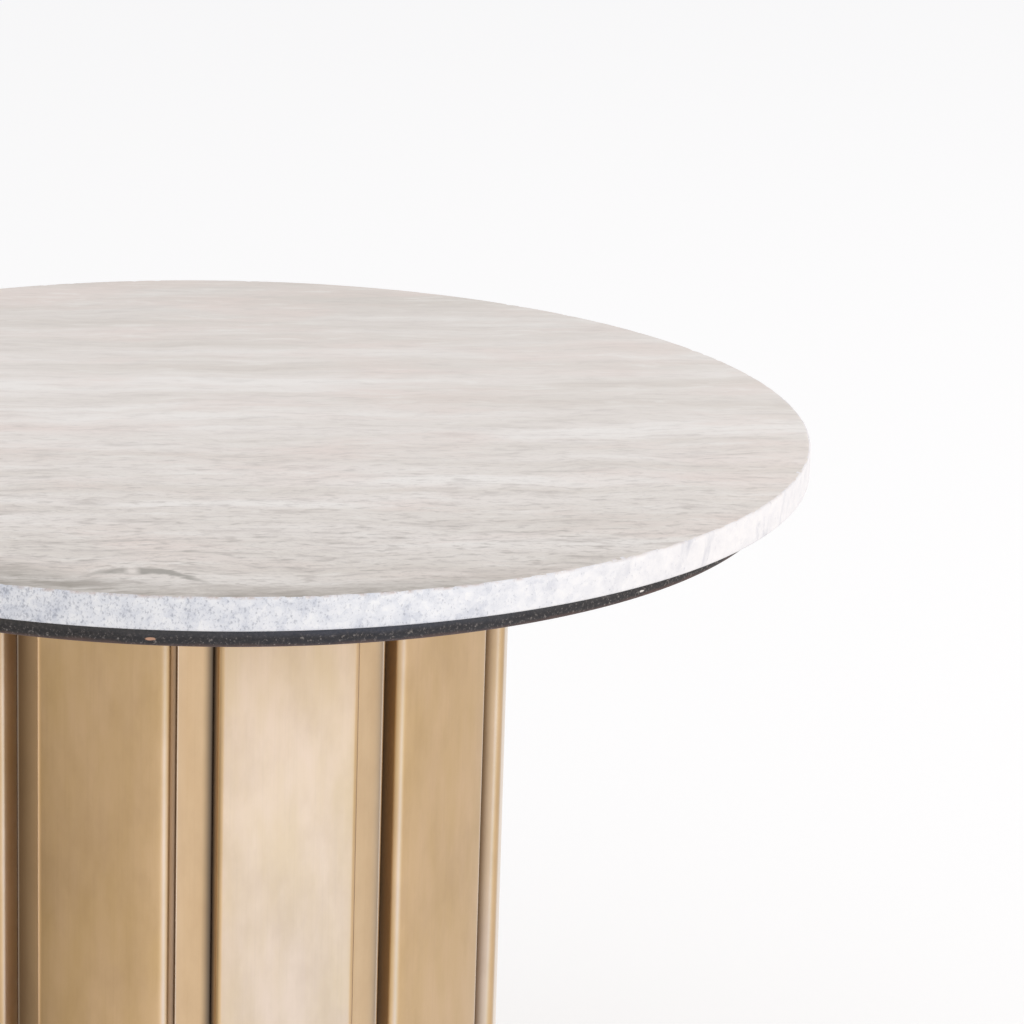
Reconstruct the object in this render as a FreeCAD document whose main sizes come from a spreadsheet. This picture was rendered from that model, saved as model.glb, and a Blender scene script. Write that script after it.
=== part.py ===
import FreeCAD, Part
import os
import re

import Sketcher

# A round stone-topped coffee table on a ten-sided drum.
# The drum is a ring of mitred staves; each stave wears a folded brass skin,
# and a flat brass strip covers every joint between two staves.
# Millimetres and degrees, floor at z = 0, +Z up, drum axis on Z.

# Driving dimensions, in millimetres unless they are counts
SIZES = {
    "overall_height": 450,
    "top_diameter": 560,
    "stone_thickness": 15,
    "stone_arris": 1,
    "subtop_setback": 15,
    "subtop_thickness": 12,
    "subtop_edge_round": 2,
    "slat_count": 10,
    "across_flats": 279,
    "groove_mouth": 23.8,
    "groove_depth": 12,
    "slat_edge_radius": 3.2,
    "sheet_thickness": 1.2,
    "strip_edge_radius": 0.2,
    "seam_clearance": 0.15,
    "skin_clearance": 0.15,
    "stave_depth": 28,
    "stave_edge_ease": 0.5,
    "top_plate_thickness": 4,
    "bottom_plate_thickness": 5,
    "plate_inset": 3,
    "wood_screw_diameter": 4.5,
    "wood_screw_head": 8.5,
    "wood_screw_length": 35,
    "subtop_screw_count": 5,
    "subtop_screw_diameter": 6,
    "subtop_screw_head": 12,
    "subtop_screw_length": 22,
    "subtop_screw_inset": 30,
    "weld_nut_width": 10,
    "weld_nut_height": 5,
    "screw_clearance": 0.25,
    "thread_clearance": 0.05,
    "head_recess": 0.3,
    "dab_count": 8,
    "dab_diameter": 40,
    "dab_depth": 1.5,
    "dab_inset": 65,
    "dab_clearance": 0.5,
    "stud_diameter": 8,
    "stud_length": 34,
    "stud_clearance": 0.5,
    "hole_end_room": 2,
    "insert_diameter": 12,
    "insert_length": 20,
    "pad_width": 26,
    "pad_height": 6,
    "pad_chamfer": 1,
    "socket_depth": 4,
    "glide_gap": 0.5,
}

# Sizes that follow from the driving ones, as formulas of the sheet
FORMULAS = {
    "slat_pitch": "360 / slat_count",
    "half_pitch": "slat_pitch / 2",
    "quarter_pitch": "slat_pitch / 4",
    "top_radius": "top_diameter / 2",
    "subtop_radius": "top_radius - subtop_setback",
    "stone_base": "overall_height - stone_thickness",
    "subtop_base": "stone_base - subtop_thickness",
    "top_plate_base": "subtop_base - top_plate_thickness",
    "bottom_plate_base": "pad_height + glide_gap",
    "stave_base": "bottom_plate_base + bottom_plate_thickness",
    "stave_length": "top_plate_base - stave_base",
    "face_apothem": "across_flats / 2",
    "slat_half_width": "face_apothem * tan(half_pitch) - groove_mouth / 2 / cos(half_pitch)",
    "skin_inner_half": "slat_half_width - sheet_thickness",
    "raised_half_width": "skin_inner_half - skin_clearance",
    "raised_face": "face_apothem - sheet_thickness",
    "wall_foot": "face_apothem - groove_depth",
    "strip_face": "wall_foot * cos(half_pitch) + slat_half_width * sin(half_pitch)",
    "shoulder": "strip_face - sheet_thickness",
    "strip_back_half": "shoulder * tan(half_pitch) - slat_half_width / cos(half_pitch) - seam_clearance",
    "strip_front_half": "strip_face * tan(half_pitch) - slat_half_width / cos(half_pitch) - seam_clearance",
    "stave_back": "raised_face - stave_depth",
    "stave_middle": "raised_face - stave_depth / 2",
    "wood_screw_circle": "stave_middle / cos(quarter_pitch)",
    "subtop_screw_circle": "stave_back - subtop_screw_inset",
    "dab_circle": "subtop_radius - dab_inset",
    "stud_base": "pad_height - socket_depth",
    "stud_hole_depth": "stud_base + stud_length + hole_end_room - stave_base",
    "pilot_depth": "wood_screw_length + head_recess + hole_end_room",
    "skin_foot": "(shoulder - slat_half_width * sin(half_pitch)) / cos(half_pitch)",
    "skin_inner_foot": "(shoulder - skin_inner_half * sin(half_pitch)) / cos(half_pitch)",
    "raised_foot": "(shoulder - raised_half_width * sin(half_pitch)) / cos(half_pitch)",
    "skin_inner_radius": "slat_edge_radius - sheet_thickness",
}

doc = FreeCAD.newDocument("coffee_table")
sheet = doc.addObject("Spreadsheet::Sheet", "Sizes")
for row, (alias, number) in enumerate(SIZES.items(), start=1):
    sheet.set(f"A{row}", alias.replace("_", " "))
    sheet.set(f"B{row}", str(number))
    sheet.setAlias(f"B{row}", alias)
for row, (alias, formula) in enumerate(FORMULAS.items(), start=1):
    sheet.set(f"C{row}", alias.replace("_", " "))
    sheet.set(f"D{row}", "=" + formula)
    sheet.setAlias(f"D{row}", alias)
doc.recompute()

ALIASES = set(SIZES) | set(FORMULAS)
UP = FreeCAD.Vector(0, 0, 1)
UP_THE_SKETCH = FreeCAD.Vector(0, 1, 0)
FRONT = "-90"
SAME_PLACE = 0.0001
parts = []


def bound(formula):
    """A formula of alias words, written so that any object can bind to it."""
    return re.sub(r"[a-z_]+", lambda word: f"Sizes.{word[0]}" if word[0] in ALIASES else word[0], formula)


def value(formula):
    return float(sheet.evalExpression(bound(formula)))


def count(alias):
    return round(value(alias))


def new_part(label, turn="0", across="0", along="0", lift="0"):
    """A body for one sub-part, turned about its own Z axis and set in its place."""
    body = doc.addObject("PartDesign::Body", label)
    body.Label = label
    body.Placement = FreeCAD.Placement(FreeCAD.Vector(), FreeCAD.Rotation(UP, value(turn)))
    body.setExpression("Placement.Rotation.Angle", bound(turn))
    body.setExpression("Placement.Base.x", bound(across))
    body.setExpression("Placement.Base.y", bound(along))
    body.setExpression("Placement.Base.z", bound(lift))
    parts.append(body)
    return body


def origin_feature(body, role):
    return next(item for item in body.Origin.OriginFeatures if item.Role == role)


def place_sketch(sketch, plane, axis, turn):
    sketch.AttachmentSupport = [(plane, "")]
    sketch.MapMode = "FlatFace"
    sketch.AttachmentOffset = FreeCAD.Placement(FreeCAD.Vector(), FreeCAD.Rotation(axis, value(turn)))
    sketch.setExpression("AttachmentOffset.Rotation.Angle", bound(turn))


def plan_sketch(body, name, turn="0", lift="0"):
    """A level sketch, turned about the body's own Z axis and raised to a height."""
    sketch = body.newObject("Sketcher::SketchObject", name)
    place_sketch(sketch, origin_feature(body, "XY_Plane"), UP, turn)
    sketch.setExpression("AttachmentOffset.Base.z", bound(lift))
    return sketch


def upright_sketch(body, name, turn="0"):
    """An upright sketch whose X axis runs outwards from the body's Z axis."""
    sketch = body.newObject("Sketcher::SketchObject", name)
    place_sketch(sketch, origin_feature(body, "XZ_Plane"), UP_THE_SKETCH, turn)
    return sketch


def pin_point(sketch, edge, end, across, up):
    """Fix one point of a sketch by two dimensions from its origin."""
    for kind, formula in (("DistanceX", across), ("DistanceY", up)):
        index = sketch.addConstraint(Sketcher.Constraint(kind, -1, 1, edge, end, value(formula)))
        sketch.setExpression(f"Constraints[{index}]", bound(formula))


def draw_polygon(sketch, corners):
    points = [FreeCAD.Vector(value(across), value(up), 0) for across, up in corners]
    ends = points[1:] + points[:1]
    edges = [sketch.addGeometry(Part.LineSegment(a, b), False) for a, b in zip(points, ends)]
    for edge, follower in zip(edges, edges[1:] + edges[:1]):
        sketch.addConstraint(Sketcher.Constraint("Coincident", edge, 2, follower, 1))
    for edge, (across, up) in zip(edges, corners):
        pin_point(sketch, edge, 1, across, up)


def draw_mirrored(sketch, right_side):
    """A closed outline from its right half, read from the front inwards."""
    left_side = [(f"-({across})", up) for across, up in reversed(right_side)]
    draw_polygon(sketch, right_side + left_side)


def draw_circle(sketch, across, up, radius):
    centre = FreeCAD.Vector(value(across), value(up), 0)
    edge = sketch.addGeometry(Part.Circle(centre, UP, value(radius)), False)
    pin_point(sketch, edge, 3, across, up)
    index = sketch.addConstraint(Sketcher.Constraint("Radius", edge, value(radius)))
    sketch.setExpression(f"Constraints[{index}]", bound(radius))


def draw_hexagon(sketch, across, width):
    """A hexagon of a given width across its flats, centred on the sketch's own X axis."""
    corner = f"{width} / 2 / cos(30)"
    turns = range(0, 360, 60)
    draw_polygon(sketch, [(f"{across} + {corner} * cos({t})", f"{corner} * sin({t})") for t in turns])


def draw_turning(sketch, centre, profile):
    """A half profile beside the upright axis that it turns about, as radius and height pairs."""
    draw_polygon(sketch, [(f"{centre} + {radius}", height) for radius, height in profile])
    foot = FreeCAD.Vector(value(centre), 0, 0)
    axis = sketch.addGeometry(Part.LineSegment(foot, foot + FreeCAD.Vector(0, 1, 0)), True)
    pin_point(sketch, axis, 1, centre, "0")
    pin_point(sketch, axis, 2, centre, "1")


def feature(body, kind, name, sketch, **formulas):
    item = body.newObject(f"PartDesign::{kind}", name)
    item.Profile = sketch
    for size, formula in formulas.items():
        item.setExpression(size, bound(formula))
    return item


def pad(body, sketch, length):
    return feature(body, "Pad", "pad", sketch, Length=length)


def turned(body, kind, sketch):
    item = feature(body, kind, "turned", sketch)
    item.ReferenceAxis = (sketch, ["Axis0"])
    item.Angle = 360
    return item


def pocket(body, sketch, depth, upwards=False):
    """A blind cut into the body from the sketch's own level."""
    item = feature(body, "Pocket", "pocket", sketch, Length=depth)
    item.Reversed = upwards
    return item


def ring(body, original, copies):
    pattern = body.newObject("PartDesign::PolarPattern", "ring")
    pattern.Originals = [original]
    pattern.Axis = (origin_feature(body, "Z_Axis"), [""])
    pattern.Angle = 360
    pattern.setExpression("Occurrences", bound(copies))
    body.Tip = pattern
    return pattern


def upright_at(points):
    """A test for the upright edges that stand over given points of a plan."""
    places = [FreeCAD.Vector(value(across), value(up), 0) for across, up in points]

    def test(edge):
        low, high = edge.Vertexes[0].Point, edge.Vertexes[-1].Point
        plan = FreeCAD.Vector(low.x, low.y, 0)
        stands = abs(high.z - low.z) > edge.Length / 2
        return stands and any(plan.isEqual(place, SAME_PLACE) for place in places)

    return test


def rim_at(height):
    """A test for the edges that lie level at a height."""
    level = value(height)
    return lambda edge: all(abs(vertex.Z - level) < SAME_PLACE for vertex in edge.Vertexes)


def ease(body, kind, size_name, size, test):
    """A fillet or chamfer on the edges of the body's last shape that pass a test."""
    doc.recompute()
    base = body.Tip
    names = [f"Edge{n}" for n, edge in enumerate(base.Shape.Edges, start=1) if test(edge)]
    item = body.newObject(f"PartDesign::{kind}", kind.lower())
    item.Base = (base, names)
    item.setExpression(size_name, bound(size))
    body.Tip = item
    return item


def ease_disc(body, radius, reach, height):
    """Round the outer rim of a disc at one height."""
    level = rim_at(height)
    outer = value(reach)

    def test(edge):
        return level(edge) and abs(edge.Curve.Radius - outer) < SAME_PLACE

    ease(body, "Fillet", "Radius", radius, test)


# Stone top
def make_stone_top():
    body = new_part("stone_top", lift="stone_base")
    outline = plan_sketch(body, "outline")
    draw_circle(outline, "0", "0", "top_radius")
    pad(body, outline, "stone_thickness")
    ease_disc(body, "stone_arris", "top_radius", "stone_thickness")
    ease_disc(body, "stone_arris", "top_radius", "0")


# Dabs of adhesive that hold the stone, in shallow pockets of the sub-top
def make_adhesive_dabs():
    body = new_part("adhesive_dabs", lift="stone_base - dab_depth")
    outline = plan_sketch(body, "outline", turn=FRONT)
    draw_circle(outline, "dab_circle", "0", "dab_diameter / 2")
    ring(body, pad(body, outline, "dab_depth"), "dab_count")


# A countersunk screw, as a half profile that hangs from the flat of its head at height 0
def screw_profile(diameter, head, length):
    return [
        ("0", f"-{length}"),
        (f"{diameter} / 2", f"-{length}"),
        (f"{diameter} / 2", f"({diameter} - {head}) / 2"),
        (f"{head} / 2", "0"),
        ("0", "0"),
    ]


# The hole that it seats in, through a plate whose face is at height 0
def seat_profile(diameter, head, thickness):
    hole = f"({diameter} / 2 + screw_clearance)"
    return [
        ("0", f"-{thickness} - head_recess"),
        (hole, f"-{thickness} - head_recess"),
        (hole, f"{hole} - {head} / 2 - head_recess"),
        (f"{head} / 2", "-head_recess"),
        (f"{head} / 2", "head_recess"),
        ("0", "head_recess"),
    ]


def lifted(profile, lift):
    return [(radius, f"{lift} + {height}") for radius, height in profile]


def upside_down(profile):
    return [(radius, f"-({height})") for radius, height in profile]


def make_screws(label, circle, copies, profile, turn, lift):
    body = new_part(label, lift=lift)
    half = upright_sketch(body, "half_profile", turn)
    draw_turning(half, circle, profile)
    ring(body, turned(body, "Revolution", half), copies)


def cut_seats(body, circle, copies, profile, turn):
    half = upright_sketch(body, "seat", turn)
    draw_turning(half, circle, profile)
    ring(body, turned(body, "Groove", half), copies)


WOOD_SCREW = ("wood_screw_diameter", "wood_screw_head")
WOOD_SCREW_TURN = f"{FRONT} - quarter_pitch"
SUBTOP_SCREW = ("subtop_screw_diameter", "subtop_screw_head")


# Sub-top: the black disc between the stone and the drum
def make_sub_top():
    body = new_part("sub_top", lift="subtop_base")
    outline = plan_sketch(body, "outline")
    draw_circle(outline, "0", "0", "subtop_radius")
    pad(body, outline, "subtop_thickness")
    ease_disc(body, "subtop_edge_round", "subtop_radius", "0")
    seat = lifted(seat_profile(*SUBTOP_SCREW, "subtop_thickness"), "subtop_thickness")
    cut_seats(body, "subtop_screw_circle", "subtop_screw_count", seat, FRONT)
    dab = plan_sketch(body, "dab", turn=FRONT, lift="subtop_thickness")
    draw_circle(dab, "dab_circle", "0", "dab_diameter / 2 + dab_clearance")
    ring(body, pocket(body, dab, "dab_depth"), "dab_count")


# Screws that hold the sub-top down, and the nuts welded under the top plate for them
def make_sub_top_fixings():
    screw = screw_profile(*SUBTOP_SCREW, "subtop_screw_length")
    lift = "stone_base - head_recess"
    make_screws("sub_top_screws", "subtop_screw_circle", "subtop_screw_count", screw, FRONT, lift)
    nuts = new_part("sub_top_weld_nuts", lift="top_plate_base - weld_nut_height")
    outline = plan_sketch(nuts, "outline", turn=FRONT)
    draw_hexagon(outline, "subtop_screw_circle", "weld_nut_width")
    draw_circle(outline, "subtop_screw_circle", "0", "subtop_screw_diameter / 2 + thread_clearance")
    ring(nuts, pad(nuts, outline, "weld_nut_height"), "subtop_screw_count")


# A plate across the ends of the staves: a disc within the strips, with a tooth over each slat
def make_plate(label, thickness, lift):
    body = new_part(label, lift=lift)
    disc = plan_sketch(body, "disc")
    draw_circle(disc, "0", "0", "strip_face - plate_inset")
    pad(body, disc, thickness)
    tooth = plan_sketch(body, "tooth", turn=f"{FRONT} - 90")
    draw_mirrored(tooth, [("slat_half_width - plate_inset", "face_apothem - plate_inset"),
                          ("slat_half_width - plate_inset", "0")])
    ring(body, pad(body, tooth, thickness), "slat_count")
    return body


def make_top_plate():
    body = make_plate("top_plate", "top_plate_thickness", "top_plate_base")
    seat = lifted(seat_profile(*WOOD_SCREW, "top_plate_thickness"), "top_plate_thickness")
    cut_seats(body, "wood_screw_circle", "2 * slat_count", seat, WOOD_SCREW_TURN)
    hole = plan_sketch(body, "hole", turn=FRONT)
    draw_circle(hole, "subtop_screw_circle", "0", "subtop_screw_diameter / 2 + screw_clearance")
    ring(body, pocket(body, hole, "top_plate_thickness", upwards=True), "subtop_screw_count")


# A glide stands under every second stave, from the front one on
def glide_spots():
    angles = [f"({FRONT} + {stave} * slat_pitch)" for stave in range(0, count("slat_count") - 1, 2)]
    return [(f"stave_middle * cos({angle})", f"stave_middle * sin({angle})") for angle in angles]


def make_bottom_plate():
    body = make_plate("bottom_plate", "bottom_plate_thickness", "bottom_plate_base")
    seat = upside_down(seat_profile(*WOOD_SCREW, "bottom_plate_thickness"))
    cut_seats(body, "wood_screw_circle", "2 * slat_count", seat, WOOD_SCREW_TURN)
    holes = plan_sketch(body, "stud_holes")
    for across, along in glide_spots():
        draw_circle(holes, across, along, "stud_diameter / 2 + stud_clearance")
    pocket(body, holes, "bottom_plate_thickness", upwards=True)


# Wood screws through both plates, two into each end of every stave
def make_plate_screws():
    screw = screw_profile(*WOOD_SCREW, "wood_screw_length")
    ring_of = ("wood_screw_circle", "2 * slat_count")
    above = "subtop_base - head_recess"
    below = "bottom_plate_base + head_recess"
    make_screws("top_plate_screws", *ring_of, screw, WOOD_SCREW_TURN, above)
    make_screws("bottom_plate_screws", *ring_of, upside_down(screw), WOOD_SCREW_TURN, below)


# The front of stave, skin or strip faces +Y in its own plan, so half a turn faces it forwards
def slat_turn(number):
    return f"180 + {number} * slat_pitch"


# One mitred stave: a raised front for its skin, and a shoulder on each side for the strips
def make_stave(number, takes_glide):
    body = new_part(f"stave_{number + 1:02d}", turn=slat_turn(number), lift="stave_base")
    outline = plan_sketch(body, "outline")
    front = ("raised_half_width", "raised_face")
    draw_mirrored(outline, [
        front,
        ("raised_half_width", "raised_foot"),
        ("shoulder * sin(half_pitch)", "shoulder * cos(half_pitch)"),
        ("stave_back * tan(half_pitch)", "stave_back"),
    ])
    pad(body, outline, "stave_length")
    corners = upright_at([front, (f"-{front[0]}", front[1])])
    ease(body, "Fillet", "Radius", "skin_inner_radius + stave_edge_ease", corners)
    pilot = "wood_screw_diameter / 2 + thread_clearance"
    for lift, depth, upwards in (("0", "pilot_depth - bottom_plate_thickness", True),
                                 ("stave_length", "pilot_depth - top_plate_thickness", False)):
        holes = plan_sketch(body, "pilots", lift=lift)
        for side in ("-", ""):
            draw_circle(holes, f"{side}stave_middle * tan(quarter_pitch)", "stave_middle", pilot)
        pocket(body, holes, depth, upwards)
    if takes_glide:
        hole = plan_sketch(body, "insert_hole")
        draw_circle(hole, "0", "stave_middle", "insert_diameter / 2 + thread_clearance")
        pocket(body, hole, "stud_hole_depth", upwards=True)


# One brass skin, folded over the front of a stave down to its shoulders
def make_skin(number):
    body = new_part(f"slat_skin_{number + 1:02d}", turn=slat_turn(number), lift="stave_base")
    outline = plan_sketch(body, "outline")
    outer = ("slat_half_width", "face_apothem")
    inner = ("skin_inner_half", "raised_face")
    draw_mirrored(outline, [
        outer,
        ("slat_half_width", "skin_foot"),
        ("skin_inner_half", "skin_inner_foot"),
        inner,
    ])
    pad(body, outline, "stave_length")
    for (across, up), radius in ((outer, "slat_edge_radius"), (inner, "skin_inner_radius")):
        ease(body, "Fillet", "Radius", radius, upright_at([(across, up), (f"-{across}", up)]))


# One flat brass strip on the shoulders of two staves, over the joint between them
def make_strip(number):
    turn = f"{slat_turn(number)} + half_pitch"
    body = new_part(f"groove_strip_{number + 1:02d}", turn=turn, lift="stave_base")
    outline = plan_sketch(body, "outline")
    front = ("strip_front_half", "strip_face")
    draw_mirrored(outline, [front, ("strip_back_half", "shoulder")])
    pad(body, outline, "stave_length")
    corners = upright_at([front, (f"-{front[0]}", front[1])])
    ease(body, "Fillet", "Radius", "strip_edge_radius", corners)


# Threaded inserts in the feet of the staves that take a glide
def make_inserts():
    body = new_part("threaded_inserts", lift="stave_base")
    outline = plan_sketch(body, "outline")
    for across, along in glide_spots():
        draw_circle(outline, across, along, "insert_diameter / 2")
        draw_circle(outline, across, along, "stud_diameter / 2 + thread_clearance")
    pad(body, outline, "insert_length")


# One levelling glide: a threaded stud, and the hexagonal pad that it stands in
def make_glide(number, across, along):
    stud = new_part(f"glide_stud_{number}", across=across, along=along, lift="stud_base")
    outline = plan_sketch(stud, "outline")
    draw_circle(outline, "0", "0", "stud_diameter / 2")
    pad(stud, outline, "stud_length")
    foot = new_part(f"glide_pad_{number}", across=across, along=along)
    outline = plan_sketch(foot, "outline")
    draw_hexagon(outline, "0", "pad_width")
    pad(foot, outline, "pad_height")
    ease(foot, "Chamfer", "Size", "pad_chamfer", rim_at("0"))
    socket = plan_sketch(foot, "socket", lift="pad_height")
    draw_circle(socket, "0", "0", "stud_diameter / 2 + thread_clearance")
    pocket(foot, socket, "socket_depth")


make_stone_top()
make_adhesive_dabs()
make_sub_top()
make_sub_top_fixings()
make_top_plate()
make_bottom_plate()
make_plate_screws()
for slat in range(count("slat_count")):
    make_stave(slat, takes_glide=slat % 2 == 0)
    make_skin(slat)
    make_strip(slat)
make_inserts()
for number, (across, along) in enumerate(glide_spots(), start=1):
    make_glide(number, across, along)
doc.recompute()

# Every object has to be whole before anything is written
failed = [item.Label for item in doc.Objects if {"Invalid", "Error"} & set(item.State)]
failed += [body.Label for body in parts if body.Shape.isNull() or not body.Shape.isValid()]
if failed:
    raise RuntimeError(f"not built: {failed}")
os.makedirs("parts", exist_ok=True)
for body in parts:
    body.Shape.exportStep(f"parts/{body.Label}.step")
    print(f"{body.Label}: {len(body.Shape.Solids)} solids, {body.Shape.Volume / 1000:.2f} cubic cm")
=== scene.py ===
# %% [markdown]
# A marble and brass coffee table.
# A disc of vein-cut marble lies on a black board, and a drum of ten flat brass slats carries both.
# The table's plain solids are already packed in one frame, in metres. This lesson dresses them:
# the pieces that the eye reads are modelled again over their solids, and every finish is built
# from nodes.

import math

import bmesh
import bpy
from mathutils import Matrix, Vector


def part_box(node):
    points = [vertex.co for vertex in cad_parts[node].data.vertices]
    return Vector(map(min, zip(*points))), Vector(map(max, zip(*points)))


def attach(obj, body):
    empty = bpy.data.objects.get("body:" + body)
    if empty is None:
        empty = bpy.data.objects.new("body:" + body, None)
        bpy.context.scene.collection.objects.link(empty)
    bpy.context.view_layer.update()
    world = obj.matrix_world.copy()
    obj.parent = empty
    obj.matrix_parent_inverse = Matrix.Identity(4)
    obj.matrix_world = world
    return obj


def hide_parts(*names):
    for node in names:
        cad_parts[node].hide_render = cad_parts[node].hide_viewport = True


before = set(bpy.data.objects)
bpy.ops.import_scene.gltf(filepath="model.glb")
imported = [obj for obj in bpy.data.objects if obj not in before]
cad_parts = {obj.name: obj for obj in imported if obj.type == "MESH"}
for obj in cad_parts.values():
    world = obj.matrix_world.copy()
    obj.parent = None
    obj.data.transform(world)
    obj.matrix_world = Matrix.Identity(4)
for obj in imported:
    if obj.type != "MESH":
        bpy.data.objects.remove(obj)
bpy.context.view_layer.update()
print("Nodes in the frame:", len(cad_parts))

# %% [markdown]
# The camera comes first, because each later choice is judged through it. Its place was worked out
# from the rims of the marble and of the board: a long lens, two metres away, that looks a little
# down and leans a little to one side. A camera can be turned by angles, but three arrows, right,
# up and backwards, say the same with no doubt about the order of the turns.

# %% The camera
camera_turn = math.radians(-103.64)
camera_reach = 1.9648
camera_height = 0.98868
look_aside = math.radians(4.0786)
look_down = math.radians(16.5057)
lean = math.radians(1.7925)


def around(turn, reach, height):
    """A place round the table, from its turn in degrees to the right of the camera."""
    angle = camera_turn + math.radians(turn)
    return Vector((reach * math.cos(angle), reach * math.sin(angle), height))


heading = camera_turn + math.pi - look_aside
level_ahead = Vector((math.cos(heading), math.sin(heading), 0.0))
ahead = level_ahead * math.cos(look_down) - Vector((0.0, 0.0, math.sin(look_down)))
level_right = Vector((math.sin(heading), -math.cos(heading), 0.0))
level_up = level_right.cross(ahead)
right = level_right * math.cos(lean) + level_up * math.sin(lean)
up = level_up * math.cos(lean) - level_right * math.sin(lean)

camera = bpy.data.objects.new("camera", bpy.data.cameras.new("camera"))
bpy.context.scene.collection.objects.link(camera)
camera.data.sensor_fit = "HORIZONTAL"
camera.data.sensor_width = 36.0
camera.data.lens = 150.48
stand = around(turn=0, reach=camera_reach, height=camera_height)
camera.matrix_world = Matrix.Translation(stand) @ Matrix((right, up, -ahead)).transposed().to_4x4()
bpy.context.scene.camera = camera
bpy.context.scene.view_settings.view_transform = "Standard"
print("Camera stands at", [round(value, 3) for value in stand])

# %% [markdown]
# A few small helpers serve every finish. One turns an sRGB hex colour, as a paint chart gives it, to
# the linear numbers that light is added up in. One links or sets the sockets of a node, and one adds
# a node with its settings and links, so that a finish reads as a short list of what it is made from.
# The last two start a new material and give a pattern its scale from a real size.

# %% Colours and nodes
def linear(hex_colour):
    """An sRGB hex colour as linear red, green, blue and alpha."""
    parts = [int(hex_colour[start:start + 2], 16) / 255 for start in (1, 3, 5)]
    light = [part / 12.92 if part <= 0.04045 else ((part + 0.055) / 1.055) ** 2.4 for part in parts]
    return (*light, 1.0)


def fill(tree, node, sockets):
    """Links a node's sockets to the outputs that are given for them, or sets them to constants."""
    for key, value in sockets.items():
        if isinstance(value, bpy.types.NodeSocket):
            tree.links.new(value, node.inputs[key])
        else:
            node.inputs[key].default_value = value


def add(tree, kind, sockets=None, stops=(), **settings):
    """Adds a node with its settings and links, and gives its outputs. Stops are a ramp's colours."""
    made = tree.nodes.new("ShaderNode" + kind)
    for key, value in settings.items():
        setattr(made, key, value)
    for index, (place, colour) in enumerate(stops):
        ramp = made.color_ramp.elements
        stop = ramp[index] if index < 2 else ramp.new(place)
        stop.position, stop.color = place, linear(colour)
    fill(tree, made, sockets or {})
    return made.outputs


def new_finish(name):
    """A new material, with its nodes, its shader and the piece's own coordinates."""
    made = bpy.data.materials.new(name)
    made.use_nodes = True
    tree = made.node_tree
    return made, tree, tree.nodes["Principled BSDF"], add(tree, "TexCoord")["Object"]


def per_size(*millimetres):
    """A pattern's scale, from the size of its features in millimetres."""
    return tuple(1000.0 / size for size in millimetres)


print("A mid grey is", round(linear("#808080")[0], 3), "in linear light")
print("A pattern of 4 mm has a scale of", per_size(4)[0])

# %% [markdown]
# The studio is a pale floor that runs out of sight, a soft even sky, and one lamp with a large face.
# The floor carries the table's shadow. What the camera sees of it, and what metal mirrors of it,
# is lifted by a faint glow of its own, so the background is white with no more light on the table.

# %% The floor and the sky
def seen_directly(tree):
    """One for rays that come from the camera, off metal or through glass, and zero for the rest."""
    path = add(tree, "LightPath")
    seen = path["Is Camera Ray"]
    for ray in ("Is Glossy Ray", "Is Transmission Ray"):
        seen = add(tree, "Math", {0: seen, 1: path[ray]}, operation="ADD", use_clamp=True)[0]
    return seen


floor_reach = 30.0
floor_glow = 0.236
sky_light = 0.74
sky_seen = 0.995

bpy.ops.object.select_all(action="DESELECT")
bpy.ops.mesh.primitive_plane_add(size=2 * floor_reach)
floor = bpy.context.object
floor.name = "floor"

paper = bpy.data.materials.new("matt_white_paper")
paper.use_nodes = True
tree = paper.node_tree
glow = add(tree, "Math", {0: seen_directly(tree), 1: floor_glow}, operation="MULTIPLY")[0]
fill(tree, tree.nodes["Principled BSDF"], {
    "Base Color": linear("#eeeeee"), "Roughness": 0.9, "Specular IOR Level": 0.0,
    "Emission Color": linear("#ffffff"), "Emission Strength": glow})
floor.data.materials.append(paper)

sky = bpy.data.worlds.new("studio_sky")
sky.use_nodes = True
bpy.context.scene.world = sky
tree = sky.node_tree
strength = add(tree, "MapRange", {"Value": seen_directly(tree), "To Min": sky_light, "To Max": sky_seen})[0]
fill(tree, tree.nodes["Background"], {"Color": linear("#fdfdff"), "Strength": strength})
print("Sky light", sky_light, "and floor glow", floor_glow)

# %% [markdown]
# The key lamp is a large soft one to the right, far enough away to light the whole floor alike, so
# the marble's edge brightens that way. A lamp can be aimed by a constraint, but here it is turned
# once, along the line to its target, because neither of them moves.

# %% The key lamp
key_place = around(turn=60, reach=8.0, height=4.36)
key_target = Vector((0.0, 0.0, 0.3))
key = bpy.data.objects.new("key_lamp", bpy.data.lights.new("key_lamp", "AREA"))
bpy.context.scene.collection.objects.link(key)
key.data.shape = "SQUARE"
key.data.size = 4.65
key.data.energy = 328
key.data.color = linear("#fffaf4")[:3]
key.location = key_place
key.rotation_euler = (key_target - key_place).to_track_quat("-Z", "Y").to_euler()
key.visible_camera = False
print("Key lamp of", key.data.energy, "W")

# %% [markdown]
# The helpers for modelling are those of a hand at the bench: clear the bench, take a piece, open it
# to work on its points, and close it with its faces turned outwards. New pieces start from a filled
# circle, which also makes a hexagon, or from a line that is drawn through a few points.

# %% Helpers to start a piece
def clear_bench():
    """Object mode, with nothing selected."""
    if bpy.context.object and bpy.context.object.mode != "OBJECT":
        bpy.ops.object.mode_set(mode="OBJECT")
    bpy.ops.object.select_all(action="DESELECT")


def take(piece):
    """Makes a piece the only one selected, and the active one."""
    clear_bench()
    piece.select_set(True)
    bpy.context.view_layer.objects.active = piece


def open_piece(piece):
    """Opens a piece in edit mode, with all of it selected."""
    take(piece)
    bpy.ops.object.mode_set(mode="EDIT")
    bpy.ops.mesh.select_mode(type="VERT")
    bpy.ops.mesh.select_all(action="SELECT")


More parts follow.
